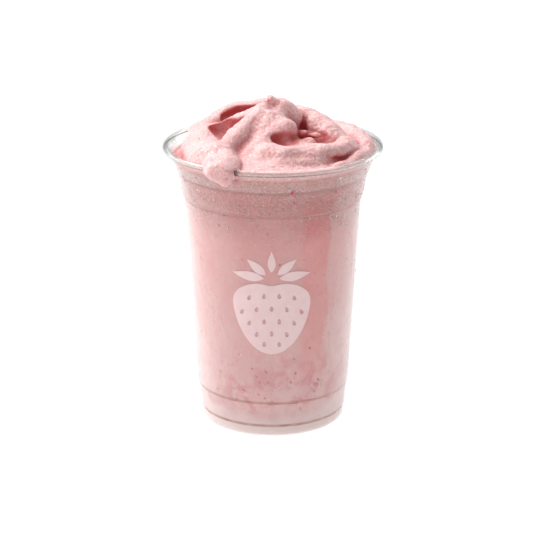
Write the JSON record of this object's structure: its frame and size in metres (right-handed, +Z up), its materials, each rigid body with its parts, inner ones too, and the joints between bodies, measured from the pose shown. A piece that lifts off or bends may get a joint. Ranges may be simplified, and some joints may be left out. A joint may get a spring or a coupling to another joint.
{
  "type": "strawberry milkshake",
  "caption": "Clear flared plastic cup with ledge rings and a curled lip, filled with pink strawberry milkshake that mounds up in a swirl and runs over the lip at the front.",
  "frame": {"origin": "on the cup's axis, at the level of the ring it stands on", "axes": "+Z up along the cup's axis; -Y is the front, where the milkshake runs over the lip a little to the left of the middle; +X to the right as seen from the front"},
  "size_m": [0.095, 0.095, 0.1447],
  "materials": {
    "clear_plastic": "clear, smooth, thin-walled",
    "milkshake": "soft, slightly icy, satin",
    "print": "thin pale translucent ink",
    "water": "condensation droplets",
    "berry": "wet strawberry flecks",
    "seed": "golden strawberry seeds"
  },
  "bodies": {
    "root": {"cup": "clear_plastic", "milkshake": "milkshake"}
  },
  "joints": []
}
